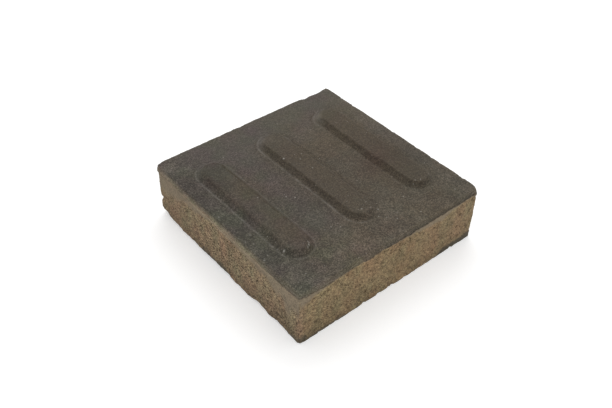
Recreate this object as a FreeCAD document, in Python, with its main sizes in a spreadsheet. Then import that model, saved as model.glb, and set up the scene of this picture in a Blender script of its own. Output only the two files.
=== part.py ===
import FreeCAD
import Part
import Sketcher
import os

# Tactile paving slab, in millimetres. Z is up from the bed face, X runs across the guide bars and Y along them.
# A dark facing layer, which carries the raised bars, lies bonded on a thicker backing slab.

SIZES = {
    "slab_width": 200.0,
    "slab_length": 200.0,
    "slab_thickness": 57.0,
    "corner_radius": 3.0,
    "facing_thickness": 6.0,
    "arris_radius": 1.5,
    "laying_joint": 2.0,
    "bar_count": 3,
    "bar_base_width": 30.0,
    "bar_end_margin": 29.0,
    "bar_height": 5.0,
    "bar_flank_run": 4.5,
    "bar_crown_radius": 1.2,
    "bar_foot_radius": 1.0,
}

BACKING_THICKNESS = "sizes.slab_thickness - sizes.facing_thickness"
# The bars keep one spacing across the joint to the next slab.
BAR_PITCH = "(sizes.slab_width + sizes.laying_joint) / sizes.bar_count"
BAR_SPREAD = f"{BAR_PITCH} * (sizes.bar_count - 1)"
BAR_END_RADIUS = "sizes.bar_base_width / 2"
BAR_STRAIGHT = "sizes.slab_length - 2 * sizes.bar_end_margin - sizes.bar_base_width"
BAR_FLANK_ANGLE = "-atan2(sizes.bar_flank_run; sizes.bar_height)"

SKETCH_ORIGIN = (-1, 1)
LEVEL_TOLERANCE = 1e-4


def fill_sheet(doc):
    """One row for each driving size, with its name as the alias of its cell."""
    sheet = doc.addObject("Spreadsheet::Sheet", "sizes")
    for row, (name, value) in enumerate(SIZES.items(), start=1):
        sheet.set(f"A{row}", name)
        sheet.set(f"B{row}", str(value))
        sheet.setAlias(f"B{row}", name)
    doc.recompute()
    return sheet


def origin_feature(body, role):
    return next(feature for feature in body.Origin.OriginFeatures if feature.Role == role)


def flat_sketch(body, name):
    """An empty sketch on the level plane through the body's own origin."""
    sketch = body.newObject("Sketcher::SketchObject", name)
    sketch.AttachmentSupport = [(origin_feature(body, "XY_Plane"), "")]
    sketch.MapMode = "FlatFace"
    return sketch


def set_size(sketch, name, expression, *constraint):
    """Adds a named dimension to a sketch and ties it to the sheet."""
    number = sketch.addConstraint(Sketcher.Constraint(*constraint))
    sketch.renameConstraint(number, name)
    sketch.setExpression(f"Constraints.{name}", expression)


def draw_plan(body):
    """The slab's rectangle, centred on the origin."""
    sketch = flat_sketch(body, f"{body.Name}_plan")
    half_width = SIZES["slab_width"] / 2
    half_length = SIZES["slab_length"] / 2
    corners = [
        FreeCAD.Vector(-half_width, -half_length, 0),
        FreeCAD.Vector(half_width, -half_length, 0),
        FreeCAD.Vector(half_width, half_length, 0),
        FreeCAD.Vector(-half_width, half_length, 0),
    ]
    for start, end in zip(corners, corners[1:] + corners[:1]):
        sketch.addGeometry(Part.LineSegment(start, end))
    front, right, back, left = range(4)
    for side, following in ((front, right), (right, back), (back, left), (left, front)):
        sketch.addConstraint(Sketcher.Constraint("Coincident", side, 2, following, 1))
    for side in (front, back):
        sketch.addConstraint(Sketcher.Constraint("Horizontal", side))
    for side in (right, left):
        sketch.addConstraint(Sketcher.Constraint("Vertical", side))
    sketch.addConstraint(Sketcher.Constraint("Symmetric", front, 1, right, 2, *SKETCH_ORIGIN))
    set_size(sketch, "width", "sizes.slab_width", "DistanceX", front, 1, front, 2, 2 * half_width)
    set_size(sketch, "length", "sizes.slab_length", "DistanceY", right, 1, right, 2, 2 * half_length)
    return sketch


def draw_bar_foot(body):
    """The round-ended foot of the first bar, on the facing's flat face."""
    sketch = flat_sketch(body, "bar_foot")
    sketch.setExpression("AttachmentOffset.Base.x", f"-({BAR_SPREAD}) / 2")
    sketch.setExpression("AttachmentOffset.Base.z", "sizes.facing_thickness")
    radius = SIZES["bar_base_width"] / 2
    straight = SIZES["slab_length"] - 2 * SIZES["bar_end_margin"] - SIZES["bar_base_width"]
    up = FreeCAD.Vector(0, 0, 1)
    near_centre = FreeCAD.Vector(0, -straight / 2, 0)
    far_centre = FreeCAD.Vector(0, straight / 2, 0)
    across = FreeCAD.Vector(radius, 0, 0)
    half_turn = FreeCAD.Units.parseQuantity("180 deg").getValueAs("rad").Value
    right = sketch.addGeometry(Part.LineSegment(near_centre + across, far_centre + across))
    far = sketch.addGeometry(Part.ArcOfCircle(Part.Circle(far_centre, up, radius), 0, half_turn))
    left = sketch.addGeometry(Part.LineSegment(far_centre - across, near_centre - across))
    near = sketch.addGeometry(Part.ArcOfCircle(Part.Circle(near_centre, up, radius), half_turn, 2 * half_turn))
    for side, following in ((right, far), (far, left), (left, near), (near, right)):
        sketch.addConstraint(Sketcher.Constraint("Tangent", side, 2, following, 1))
    sketch.addConstraint(Sketcher.Constraint("Vertical", right))
    sketch.addConstraint(Sketcher.Constraint("Equal", near, far))
    sketch.addConstraint(Sketcher.Constraint("Symmetric", near, 3, far, 3, *SKETCH_ORIGIN))
    set_size(sketch, "end_radius", BAR_END_RADIUS, "Radius", far, radius)
    set_size(sketch, "straight", BAR_STRAIGHT, "DistanceY", near, 3, far, 3, straight)
    return sketch


def pad(body, sketch, name, height):
    feature = body.newObject("PartDesign::Pad", name)
    feature.Profile = sketch
    feature.setExpression("Length", height)
    return feature


def level_faces(shape, height):
    """The flat faces of a shape that lie at one height."""
    return [
        face for face in shape.Faces
        if face.BoundBox.ZLength < LEVEL_TOLERANCE and abs(face.BoundBox.ZMin - height) < LEVEL_TOLERANCE
    ]


def upright_edges(shape):
    return [
        edge for edge in shape.Edges
        if edge.BoundBox.XLength < LEVEL_TOLERANCE and edge.BoundBox.YLength < LEVEL_TOLERANCE
    ]


def round_edges(body, name, radius, base, edges):
    """Rounds the given edges of the base feature to a radius from the sheet."""
    names = [
        f"Edge{number}" for number, edge in enumerate(base.Shape.Edges, start=1)
        if any(edge.isSame(wanted) for wanted in edges)
    ]
    feature = body.newObject("PartDesign::Fillet", name)
    feature.Base = (base, names)
    feature.setExpression("Radius", radius)
    body.Document.recompute()
    return feature


def pressed_block(doc, label, thickness):
    """A block of the slab's plan with rounded upright corners, in a body of its own."""
    body = doc.addObject("PartDesign::Body", label)
    body.Label = label
    block = pad(body, draw_plan(body), f"{label}_block", thickness)
    doc.recompute()
    round_edges(body, f"{label}_corners", "sizes.corner_radius", block, upright_edges(block.Shape))
    return body


def add_bars(body, sheet):
    """The row of guide bars with sloped flanks, then the rounding of their feet and crowns and of the arris."""
    doc = body.Document
    bar = pad(body, draw_bar_foot(body), "bar", "sizes.bar_height")
    bar.setExpression("TaperAngle", BAR_FLANK_ANGLE)
    doc.recompute()

    row = body.newObject("PartDesign::LinearPattern", "bar_row")
    row.Originals = [bar]
    row.Direction = (origin_feature(body, "X_Axis"), [""])
    row.setExpression("Length", BAR_SPREAD)
    row.setExpression("Occurrences", "sizes.bar_count")
    body.Tip = row
    doc.recompute()

    flat_level = sheet.facing_thickness
    crown_level = flat_level + sheet.bar_height
    crowns = [edge for face in level_faces(row.Shape, crown_level) for edge in face.Edges]
    crowned = round_edges(body, "bar_crowns", "sizes.bar_crown_radius", row, crowns)

    flat = max(level_faces(crowned.Shape, flat_level), key=lambda face: face.Area)
    feet = [edge for wire in flat.Wires if not wire.isSame(flat.OuterWire) for edge in wire.Edges]
    footed = round_edges(body, "bar_feet", "sizes.bar_foot_radius", crowned, feet)

    flat = max(level_faces(footed.Shape, flat_level), key=lambda face: face.Area)
    round_edges(body, "arris", "sizes.arris_radius", footed, flat.OuterWire.Edges)


def check(doc, bodies):
    """Stops the build if any feature failed or a body has no sound single solid."""
    failed = [item.Name for item in doc.Objects if {"Invalid", "Error"} & set(item.State)]
    if failed:
        raise RuntimeError(f"features that failed: {failed}")
    for body in bodies:
        if body.Shape.isNull() or not body.Shape.isValid() or len(body.Shape.Solids) != 1:
            raise RuntimeError(f"{body.Label} is not one sound solid")


def main():
    doc = FreeCAD.newDocument("tactile_paving_slab")
    sheet = fill_sheet(doc)
    backing = pressed_block(doc, "backing_slab", BACKING_THICKNESS)
    facing = pressed_block(doc, "facing_layer", "sizes.facing_thickness")
    add_bars(facing, sheet)
    facing.setExpression("Placement.Base.z", BACKING_THICKNESS)
    doc.recompute()
    bodies = [backing, facing]
    check(doc, bodies)
    os.makedirs("parts", exist_ok=True)
    for body in bodies:
        body.Shape.exportStep(f"parts/{body.Label}.step")


main()
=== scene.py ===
import itertools
import math

import bpy
import numpy as np
from bpy.props import FloatProperty, FloatVectorProperty, IntProperty, PointerProperty
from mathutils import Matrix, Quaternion, Vector


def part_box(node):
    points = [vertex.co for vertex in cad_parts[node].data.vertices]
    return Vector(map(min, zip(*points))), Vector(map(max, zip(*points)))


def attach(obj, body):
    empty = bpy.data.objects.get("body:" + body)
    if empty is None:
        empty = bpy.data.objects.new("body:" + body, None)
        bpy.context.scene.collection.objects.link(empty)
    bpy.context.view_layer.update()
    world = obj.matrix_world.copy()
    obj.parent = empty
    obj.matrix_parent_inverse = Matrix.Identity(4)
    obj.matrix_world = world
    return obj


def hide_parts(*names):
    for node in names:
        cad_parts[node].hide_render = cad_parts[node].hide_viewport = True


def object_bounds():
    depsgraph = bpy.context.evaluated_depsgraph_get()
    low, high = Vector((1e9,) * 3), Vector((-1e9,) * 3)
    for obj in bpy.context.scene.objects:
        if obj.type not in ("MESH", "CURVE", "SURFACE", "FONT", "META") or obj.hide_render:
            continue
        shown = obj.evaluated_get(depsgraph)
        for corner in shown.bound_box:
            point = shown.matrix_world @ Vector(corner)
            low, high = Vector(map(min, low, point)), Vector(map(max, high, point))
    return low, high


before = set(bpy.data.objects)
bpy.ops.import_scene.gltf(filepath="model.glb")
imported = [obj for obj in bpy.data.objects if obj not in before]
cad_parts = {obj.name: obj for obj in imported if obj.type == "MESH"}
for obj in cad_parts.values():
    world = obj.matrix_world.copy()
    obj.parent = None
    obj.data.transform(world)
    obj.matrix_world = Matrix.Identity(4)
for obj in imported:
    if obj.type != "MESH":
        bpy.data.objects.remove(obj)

bl_info = {
    "name": "Tactile Paving Slab",
    "version": (1, 0, 0),
    "blender": (4, 5, 0),
    "location": "View3D > Sidebar > Paving",
    "description": "Dresses a two-layer tactile paving slab in worn concrete and sets a studio round it",
    "category": "Object",
}

MM = 0.001
CAD_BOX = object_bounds()
FACING_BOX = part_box("facing_layer")
BACKING_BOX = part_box("backing_slab")
HALF_WIDTH = FACING_BOX[1].x
HALF_LENGTH = FACING_BOX[1].y
BOND_LEVEL = BACKING_BOX[1].z

# Mesh fineness: columns along each side, rows down the two layers, and rings of the bed in millimetres
SIDE_COLUMNS = 280
FACING_ROWS = 8
BACKING_ROWS = 64
BED_RING_INSETS = [1.0, 2.5, 5.0, 9.0, 15.0, 24.0, 36.0, 50.0, 66.0, 82.0]
# How far in from the sides the two layers' meshes turn level where they meet
BOND_INSET = 4 * MM


# Settings

def from_screen(red, green, blue):
    """A colour as it looks on a screen, 0 to 255, as the linear colour that shaders take."""
    return tuple(
        part / 12.92 if part <= 0.04045 else ((part + 0.055) / 1.055) ** 2.4
        for part in (red / 255, green / 255, blue / 255)
    )


def length(name, description, millimetres):
    return FloatProperty(
        name=name, description=description, default=millimetres * MM, unit="LENGTH", precision=5)


def lengths(name, description, millimetres, subtype="NONE"):
    values = tuple(value * MM for value in millimetres)
    return FloatVectorProperty(
        name=name, description=description, default=values, size=len(values), subtype=subtype,
        unit="LENGTH", precision=5)


def angle(name, description, degrees):
    return FloatProperty(name=name, description=description, default=math.radians(degrees), subtype="ANGLE")


def colour(name, description, red, green, blue):
    return FloatVectorProperty(
        name=name, description=description, default=from_screen(red, green, blue), subtype="COLOR",
        min=0, max=1)


class GuideBarSizes(bpy.types.PropertyGroup):
    """Sizes of the raised bars, as in the solid"""
    count: IntProperty(name="Count", description="Number of bars", default=3)
    pitch: length("Pitch", "Distance between the middles of neighbouring bars", 202 / 3)
    base_width: length("Base width", "Width of a bar at its foot", 30)
    flank_run: length("Flank run", "Level run of the sloped flank", 4.5)
    end_margin: length("End margin", "From the slab's edge to the foot of a bar's end", 29)
    height: length("Height", "Rise of a bar over the flat face", 5)


class WearSizes(bpy.types.PropertyGroup):
    """How far use and handling have worn the slab"""
    facing_corners: lengths(
        "Facing corners", "Radius of the front, right, back and left corner of the face",
        (1.5, 6.0, 2.0, 3.2))
    backing_corners: lengths(
        "Backing corners", "Radius of the front, right, back and left corner of the backing",
        (2.0, 0.8, 1.0, 5.0))
    front_foot: length("Front foot", "Extra radius of the backing's front corner at the bed", 1.2)
    near_arris: length("Near arris", "Radius of the rounded top edge at the front corner", 1.5)
    far_arris: length("Far arris", "Radius of the rounded top edge at the back corner", 0.4)
    arris_nick: length("Arris nick", "Deepest nick in the top edge", 1.0)
    pore: length("Pore", "Deepest pore in the backing's sides", 0.9)
    seam_waver: length("Seam waver", "How far the seam between the layers wanders", 0.9)


class ConcreteColours(bpy.types.PropertyGroup):
    """Colours of the two concretes"""
    facing_brown: colour("Facing brown", "Facing where it is brownest", 88, 79, 67)
    facing_grey: colour("Facing grey", "Facing where it is bleached grey", 85, 79, 73)
    facing_moss: colour("Facing moss", "Greenish grey left margin of the facing", 83, 79, 71)
    facing_olive: colour("Facing olive", "Facing where it is greenish", 86, 80, 69)
    facing_rust: colour("Facing rust", "Reddish stains on the facing", 84, 69, 60)
    # Colour of the bars' dense dark skin and of the painted shade on their flanks, tips and crowns and by
    # their right feet
    facing_shade: colour("Facing shade", "Dense dark skin on the flanks of the bars", 71, 63, 52)
    facing_dust: colour("Facing dust", "Dust and slurry on the facing's sides", 157, 144, 120)
    pale_grain: colour("Pale grain", "Bare pale sand grains and dusty lines", 196, 192, 182)
    # Colour of dirt and painted shade in the facing's pores, crumbled spots and seam
    pore_dirt_and_shade: colour("Dark pore", "Dirt in the facing's pores", 48, 42, 35)
    backing_rust: colour("Backing rust", "Reddish patches of the backing", 163, 135, 109)
    backing_olive: colour("Backing olive", "Greenish patches of the backing", 149, 136, 107)
    backing_ochre: colour("Backing ochre", "Reddish patches of the backing's yellowed side", 164, 136, 104)
    backing_straw: colour("Backing straw", "Greenish patches of the backing's yellowed side", 152, 137, 104)
    # Colour of dirt and painted shade in the backing's pits, pores and gaps between grains
    backing_pore_dirt_and_shade: colour("Backing pore", "Dirt in the backing's pores", 62, 49, 37)
    backing_grain: colour("Backing grain", "Bare pale sand grains in the backing", 190, 172, 143)
    # Colour of the painted contact shadow along the foot of the sides
    backing_foot_shadow: colour("Backing damp", "Damp dark foot of the sides", 84, 80, 70)
    backing_slurry: colour("Backing slurry", "Smooth greyer strip below the facing", 145, 132, 112)
    # Colour towards which the sides darken near the lower edge
    backing_lower_dark: colour("Backing stain", "Grime along the lower edge", 84, 74, 60)


class StudioSettings(bpy.types.PropertyGroup):
    """Camera and light"""
    azimuth: angle("Azimuth", "Direction of the view round the slab", -41.02)
    elevation: angle("Elevation", "Height of the view above the horizon", 41.21)
    roll: angle("Roll", "Tilt of the picture", 1.63)
    distance: length("Distance", "From the camera to the point it aims at", 717.7)
    aim: lengths("Aim", "Point in the middle of the picture", (-7.3, 2.6, 26.7), subtype="XYZ")
    focal_length: FloatProperty(
        name="Focal length", description="Lens in millimetres on a 36 mm sensor",
        default=47.27, unit="CAMERA")
    sky: FloatProperty(name="Sky", description="Strength of the even light from all round", default=0.72)
    key_power: FloatProperty(
        name="Key power", description="Power of the soft lamp behind the slab", default=9.0, unit="POWER")


class SlabSettings(bpy.types.PropertyGroup):
    """All settings of the slab and its studio"""
    bars: PointerProperty(type=GuideBarSizes)
    wear: PointerProperty(type=WearSizes)
    colours: PointerProperty(type=ConcreteColours)
    studio: PointerProperty(type=StudioSettings)


# Numbers that vary over the surface

# Size of the repeating table of random numbers behind the noise
LATTICE = 64
# Least and greatest radius of a pit as shares of its cell, and a radius too small to show
PIT_RADII = (0.25, 0.6)
NO_PIT = 1e-6
# Least divisor, against division by zero
TINY = 1e-12


def mix(first, second, share):
    """From the first value to the second as the share goes from 0 to 1."""
    return first + (second - first) * share


def smooth_step(low, high, value):
    """From 0 at the low value to 1 at the high one, with soft ends."""
    share = np.clip((value - low) / (high - low), 0, 1)
    return share * share * (3 - 2 * share)


def bump(distance, reach):
    """A soft bump, 1 at no distance and near 0 past twice the reach."""
    return np.exp(-(distance / reach) ** 2)


def lattice_noise(points, cell, seed):
    """Smooth noise from -1 to 1 whose lumps are about one cell across."""
    table = np.random.default_rng(seed).uniform(-1, 1, (LATTICE,) * 3)
    scaled = points / cell
    base = np.floor(scaled).astype(int)
    part = scaled - base
    fade = part ** 3 * (part * (part * 6 - 15) + 10)
    total = np.zeros(len(points))
    for corner in itertools.product((0, 1), repeat=3):
        index = (base + corner) % LATTICE
        weight = np.where(corner, fade, 1 - fade).prod(axis=1)
        total += weight * table[index[:, 0], index[:, 1], index[:, 2]]
    return total


def layered_noise(points, cell, seed, layers):
    """Noise with finer and weaker layers on top, still from about -1 to 1."""
    total = sum(lattice_noise(points, cell / 2 ** n, seed + n) / 2 ** n for n in range(layers))
    return total / sum(1 / 2 ** n for n in range(layers))


def pit_field(points, cell, share, seed):
    """Round pits in a share of the cells of space, from 0 on sound surface to 1 at a pit's middle."""
    generator = np.random.default_rng(seed)
    centres = generator.uniform(0, 1, (LATTICE,) * 3 + (3,))
    radii = generator.uniform(*PIT_RADII, (LATTICE,) * 3)
    radii[generator.uniform(0, 1, radii.shape) > share] = NO_PIT
    scaled = points / cell
    base = np.floor(scaled).astype(int)
    depth = np.zeros(len(points))
    for offset in itertools.product((-1, 0, 1), repeat=3):
        near = base + offset
        index = tuple((near % LATTICE).T)
        gap = np.linalg.norm(scaled - near - centres[index], axis=1)
        depth = np.maximum(depth, 1 - (gap / radii[index]) ** 2)
    return depth


# Plan of the slab: a square that is drawn in and rounded at its corners

# Signs of x and y at the front, right, back and left corner
CORNERS = [(-1, -1), (1, -1), (1, 1), (-1, 1)]
# Height below which the backing's front corner grows rounder
FRONT_FOOT_HEIGHT = 14 * MM


def side_ring():
    """Points round the edge of the square from -1 to 1: front corner, right, back and left."""
    run = np.linspace(-1, 1, SIDE_COLUMNS + 1)[:-1]
    one = np.ones(SIDE_COLUMNS)
    sides = [(run, -one), (one, run), (-run, one), (-one, -run)]
    return np.concatenate([np.stack(side, axis=1) for side in sides])


def facing_radii(wear, down):
    """Corner radii of the facing at a share of the way down its side, where worn corners grow sharper."""
    share = math.sin(down * math.pi / 2)
    return [mix(top, min(top, low), share) for top, low in zip(wear.facing_corners, wear.backing_corners)]


def backing_radii(wear, level):
    """Corner radii of the backing at a height: the front corner is rounder near the bed."""
    front, right, back, left = wear.backing_corners
    return [front + wear.front_foot * smooth_step(FRONT_FOOT_HEIGHT, 0, level), right, back, left]


def arris_radius(square, wear):
    """Radius of the rounded top edge, which grows sharper towards the back corner."""
    return mix(wear.near_arris, wear.far_arris, smooth_step(-0.5, 0.1, square.mean(axis=1)))


def side_of(places):
    """Two masks of points round the slab: those on the near side and those on the left side."""
    x = places[:, 0] / HALF_WIDTH
    y = places[:, 1] / HALF_LENGTH
    return y < -np.abs(x), x < -np.abs(y)


def by_side(places, near, left, hidden):
    """One of three values for each point: on the near side, on the left side, or elsewhere."""
    near_side, left_side = side_of(places)
    return np.where(near_side, near, np.where(left_side, left, hidden))


def plan(square, inset, radii):
    """Places of square points, drawn in by an inset from the slab's edge, with the corners rounded."""
    half = np.array([HALF_WIDTH, HALF_LENGTH])
    rim = np.abs(square).max(axis=1)[:, None] * half
    insets = np.broadcast_to(inset, len(square))[:, None]
    places = square * half * (1 - insets / np.maximum(rim, MM))
    for signs, radius in zip(CORNERS, radii):
        # What lies past the middle of the corner's arc is drawn in onto rounds about that middle
        out = places * signs - (half - radius)
        corner = (out > 0).all(axis=1)
        size = np.linalg.norm(out[corner], axis=1)
        round_out = out[corner] * (out[corner].max(axis=1) / size)[:, None]
        places[corner] = (round_out + half - radius) * signs
    return places


def at_height(places, height):
    """Points over places of the plan, all at one height or each at its own."""
    return np.column_stack([places, np.broadcast_to(height, len(places))])


def round_over(along, up, radius):
    """Where a sharp edge's points go when it is rounded: distances in from the edge and down from it."""
    out = np.clip(radius - along, 0, radius)
    rise = np.clip(radius - up, 0, radius)
    size = np.maximum(np.hypot(out, rise), TINY)
    near = (along < radius) & (up < radius)
    new_along = np.where(near, radius - out * radius / size, along)
    new_up = np.where(near, radius - rise * radius / size, up)
    return new_along, new_up


def seam_level(ring_places, wear):
    """Height of the ragged seam between the layers, for places round the slab's edge."""
    x, y = ring_places.T
    points = at_height(ring_places, 0)
    waver = layered_noise(points, 13 * MM, seed=11, layers=2)
    waver += 0.55 * layered_noise(points, 3.5 * MM, seed=12, layers=2)
    # The near side's seam is more ragged, rises at the front corner and sags on its right half
    from_front = np.hypot(x + HALF_WIDTH, y + HALF_LENGTH)
    near_side = smooth_step(-0.96 * HALF_LENGTH, -HALF_LENGTH, y)
    to_right = smooth_step(-20 * MM, 20 * MM, x)
    waver += 0.9 * near_side * (1 - 0.5 * to_right) * layered_noise(points, 6 * MM, seed=13, layers=2)
    sag = near_side * 0.4 * MM * to_right
    lift = 0.3 * MM * bump(from_front, 6 * MM) + near_side * 0.5 * MM * bump(from_front, 30 * MM)
    return BOND_LEVEL + wear.seam_waver * waver + lift - sag


# Mesh making

def ring_numbers(first, count):
    """Vertex numbers of a count of rings round the slab, which start with the first number."""
    size = SIDE_COLUMNS * len(CORNERS)
    return [first + size * n + np.arange(size) for n in range(count)]


def ring_quads(upper, lower):
    """Quads between two rings of vertex numbers, facing out when the first ring is the upper one."""
    return np.stack([lower, np.roll(lower, -1), np.roll(upper, -1), upper], axis=1)


def ring_fan(ring, centre, up):
    """Triangles from a ring to its middle vertex, facing up or down."""
    following = np.roll(ring, -1)
    middle = np.full(len(ring), centre)
    return np.stack([ring, following, middle] if up else [following, ring, middle], axis=1)


def vertex_normals(points, quads):
    """Average direction of the faces round each vertex."""
    a, b, c, d = (points[quads[:, n]] for n in range(4))
    across = np.cross(c - a, d - b)
    normals = np.zeros_like(points)
    for n in range(4):
        for axis in range(3):
            normals[:, axis] += np.bincount(quads[:, n], across[:, axis], minlength=len(points))
    return normals / np.maximum(np.linalg.norm(normals, axis=1), TINY)[:, None]


def make_piece(name, node, shape, material):
    """One smooth-shaded piece that stands for a node of the solid, with its surface masks."""
    points, quads, triangles, masks = shape
    mesh = bpy.data.meshes.new(name)
    mesh.from_pydata(points.tolist(), [], quads.tolist() + triangles.tolist())
    if mesh.validate():
        raise RuntimeError(f"{name} has faulty faces")
    mesh.shade_smooth()
    for mask, values in masks.items():
        attribute = mesh.attributes.new(mask, "FLOAT", "POINT")
        attribute.data.foreach_set("value", values.astype(np.float32))
    mesh.materials.append(material)
    piece = bpy.data.objects.new(name, mesh)
    bpy.context.scene.collection.objects.link(piece)
    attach(piece, "root")
    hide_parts(node)


def keep_inside(points):
    """Holds the points inside the solid's box, in place."""
    np.clip(points, CAD_BOX[0], CAD_BOX[1], out=points)


def spot_mask(points, x, y, reach):
    """A soft round spot on the face, with its place and reach in millimetres."""
    return bump(np.hypot(points[:, 0] - x * MM, points[:, 1] - y * MM), reach * MM)


def strongest_spot(points, spots):
    """Strength of the strongest of some spots on the face: place, reach and strength of each."""
    return np.max([strength * spot_mask(points, *spot) for *spot, strength in spots], axis=0)


def summed_spots(points, spots):
    """Sum of some spots on the face: place, reach and strength of each."""
    return sum(strength * spot_mask(points, *spot) for *spot, strength in spots)


def side_spot(points, axis, along, height, reach):
    """A soft round spot, in millimetres, on the near side along axis 0 or on the left side along axis 1."""
    gap = np.hypot(points[:, axis] / MM - along, points[:, 2] / MM - height)
    return side_of(points)[axis] * bump(gap, reach)


# The facing layer

# Marks of wear and painted shade on the bars, one value a bar from the left, most of them from 0 for none to
# 1 for clear.
# If there are more bars, the values repeat
BAR_WEAR = {
    "waver": (0.3 * MM, 0.35 * MM, 1.6 * MM),  # how far the flanks wander from straight
    "near_shade": (0.1, 0.6, 0.7),  # dark skin and painted shade on the near tip
    "flank_shade": (0.6, 0.68, 0.82),  # dark skin and painted shade on the left flank
    "near_fade": (0.6, 0.0, 0.0),  # how far the left flank's skin and painted shade fade towards the near tip
    "low_shade": (0.0, 0.5, 0.5),  # share of the left flank's skin and painted shade that is left at the foot
    "shade_reach": (2.6, 1.5, 1.5),  # how far up the left flank's skin and painted shade reach, in runs of the flank
    "right_shade": (0.0, 0.4, 0.2),  # painted shade in a band on the flat face along the right foot
    "crown_shade": (0.2, 0.35, 0.5),  # dark skin and painted shade all over the crown
    "crown_line": (1.2, 0.7, 0.65),  # dark line along the right edge of the crown
    "left_lip": (0.9, 0.9, 0.2),  # pale line along the left foot
    "right_lip": (0.45, 0.0, 0.0),  # pale line along the right foot
    "tip_lip": (0.3, 0.8, 0.6),  # pale line round the far tip
    "far_left_lip": (0.4, -0.3, 0.0),  # what is added to that line on the left of the far tip
    "far_scuff": (0.6, 0.5, 0.9),  # pale scuff on the flank on the left of the far tip
    "far_groove": (0.3, 0.7, 0.7),  # dark groove outside the foot on the left of the far tip
}
# Rounding of a bar's foot and of its crown
FOOT_BLEND = 0.7 * MM
CROWN_BLEND = 0.5 * MM
# How far outside a bar's foot its pale line lies on the left, on the right and at the far tip
LEFT_LIP_OFFSET = 1.1 * MM
RIGHT_LIP_OFFSET = 0.5 * MM
TIP_LIP_OFFSET = 2.5 * MM
# Width of the pale line to each side, and its rise
LIP_REACH = 0.8 * MM
LIP_RISE = 0.2 * MM
# How far outside the foot the dark groove lies, and its width to each side
GROOVE_OFFSET = 3.2 * MM
GROOVE_REACH = 0.6 * MM
# How far the facing's surface lies below the solid's, to leave room for its roughness
FACING_SINK = 0.18 * MM
# How far nicks, chips and dust reach from the top edge, and how dusty that edge is, from 0 to 1
NICK_REACH = 1.8 * MM
CHIP_REACH = 2.5 * MM
ARRIS_DUST_REACH = 1.2 * MM
ARRIS_DUST = 0.14
# Turn of the clouds and mottles on the face, so that they do not line up with the bars
CLOUD_TURN = math.radians(33)

# Crumbled spots on the bars' near ends: place and reach in millimetres, and strength
CRUMBLED_SPOTS = [(-62.5, -65.5, 4.5, 1), (-81.5, -57.5, 3.5, 1), (1, -62, 6, 1), (64, -64.5, 4.5, 1)]
# Reddish stains on the face: place and reach in millimetres, and strength
STAINS = [
    (56, -18, 17, 0.5), (30, 68, 9, 0.3), (0, -86, 10, 0.25), (-66, -46, 9, 0.25), (-64, -67, 6, 0.2),
    (1, -66, 6, 0.15),
]
# Lighter and darker patches of the face: place and reach in millimetres, and change of lightness
TONE_PATCHES = [
    (-95, 55, 28, -0.12), (-29, -84, 18, 0.14), (33, -84, 22, 0.06), (38, 45, 22, 0.08), (24, 5, 16, -0.06),
    (45, -20, 15, -0.12), (93, 40, 25, 0.1), (67, -84, 16, -0.08), (-67, 58, 14, -0.1), (0, 61, 6, 0.15),
    (68, -20, 20, -0.12), (-96, -10, 12, -0.1), (15, -76, 12, 0.08), (-80, -88, 12, 0.08),
    (-67, 20, 12, -0.05), (-79, -60, 5, 0.14), (-11, -61, 5, 0.08), (-96, 87, 9, 0.28), (-93, 22, 6, -0.12),
    (64, -74, 7, -0.14), (57, 61, 4, 0.2), (-99, -99, 4, -0.15), (20, 34, 8, -0.1), (88, 30, 12, 0.07),
    (92, -84, 9, -0.11), (92, -40, 12, -0.08), (38, -42, 14, -0.05), (40, -6, 12, 0.06),
]
# Bare pale grains that stand out: place in millimetres and strength
PALE_GRAINS = [
    (-10, 31.3, 0.9), (-62.2, -65.6, 0.85), (-61, -64, 0.45), (-64.4, -66.9, 0.45), (-80.7, -57, 1),
    (-82.6, -51.2, 0.3), (-82.9, -59.5, 0.25), (-89.2, -24.5, 0.35), (-96.1, 8.5, 0.35), (-97.5, -54, 0.4),
    (-1.6, -60.8, 0.5), (5.3, -64.1, 0.3), (41, 55, 0.2), (60, -62.2, 0.3), (77, -62.5, 0.2),
]
# Reach of such a grain in millimetres, and its rise
GRAIN_REACH = 0.65
GRAIN_RISE = 0.3 * MM
# Chips in the top edge, near the back corner and at the left one: place, reach and depth in millimetres
EDGE_CHIPS = [(85, 100, 11, 1.4), (71, 100, 4, 1.2), (-100, 100, 5, 1.3)]


def bar_distances(points, bars):
    """For each point: distance from the nearest bar's middle line, that bar's number, and offset along x."""
    half_straight = HALF_LENGTH - bars.end_margin - bars.base_width / 2
    past_end = np.maximum(np.abs(points[:, 1]) - half_straight, 0)
    middles = (np.arange(bars.count) - (bars.count - 1) / 2) * bars.pitch
    offsets = points[:, :1] - middles
    nearest = np.abs(offsets).argmin(axis=1)
    offset = offsets[np.arange(len(points)), nearest]
    return np.hypot(offset, past_end), nearest, offset


def soft_max(a, b, blend):
    """The greater of two values, with a soft change from one to the other."""
    share = np.clip(0.5 + 0.5 * (a - b) / blend, 0, 1)
    return mix(b, a, share) + blend * share * (1 - share)


def bar_rise(foot_gap, bars):
    """Height of a bar over the flat face: sloped flanks with a rounded crown and foot."""
    ramp = -foot_gap * bars.height / bars.flank_run
    footed = soft_max(ramp, 0, FOOT_BLEND)
    return -soft_max(-footed, -bars.height, CROWN_BLEND)


def top_grid():
    """Square grid of the top face, its quads, and the vertex numbers round its edge in ring order."""
    count = SIDE_COLUMNS + 1
    run = np.linspace(-1, 1, count)
    square = np.stack(np.meshgrid(run, run), axis=-1).reshape(-1, 2)
    numbers = np.arange(count * count).reshape(count, count)
    quads = np.stack([numbers[:-1, :-1], numbers[:-1, 1:], numbers[1:, 1:], numbers[1:, :-1]], axis=-1)
    edge = np.concatenate([numbers[0, :-1], numbers[:-1, -1], numbers[-1, :0:-1], numbers[:0:-1, 0]])
    return square, quads.reshape(-1, 4), edge


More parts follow.
